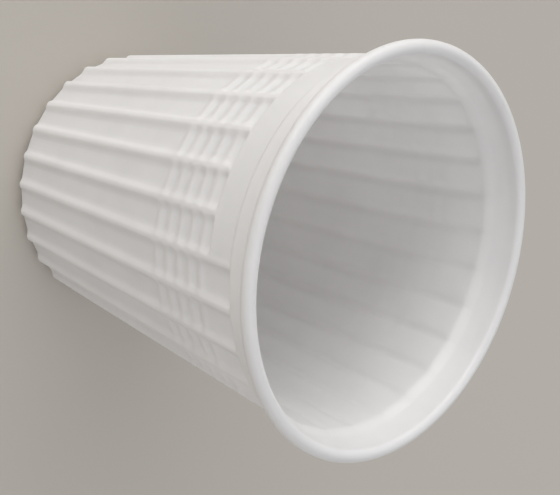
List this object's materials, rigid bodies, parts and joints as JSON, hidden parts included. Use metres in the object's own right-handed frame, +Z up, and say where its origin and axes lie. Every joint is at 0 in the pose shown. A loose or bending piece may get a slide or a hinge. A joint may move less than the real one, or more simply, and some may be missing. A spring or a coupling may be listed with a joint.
{
  "type": "disposable soup cup",
  "caption": "Thin white ribbed plastic cup for soup or hot drinks, with leaning sides, cross ridges under a plain pad, a collar and a rolled rim.",
  "frame": {"origin": "centre of the standing ring, on the table", "axes": "+Z up the cup's axis, -Y out through the middle of the plain pad"},
  "size_m": [0.08, 0.08, 0.085],
  "materials": {
    "plastic": "satin white"
  },
  "bodies": {
    "root": {"cup": "plastic"}
  },
  "joints": []
}
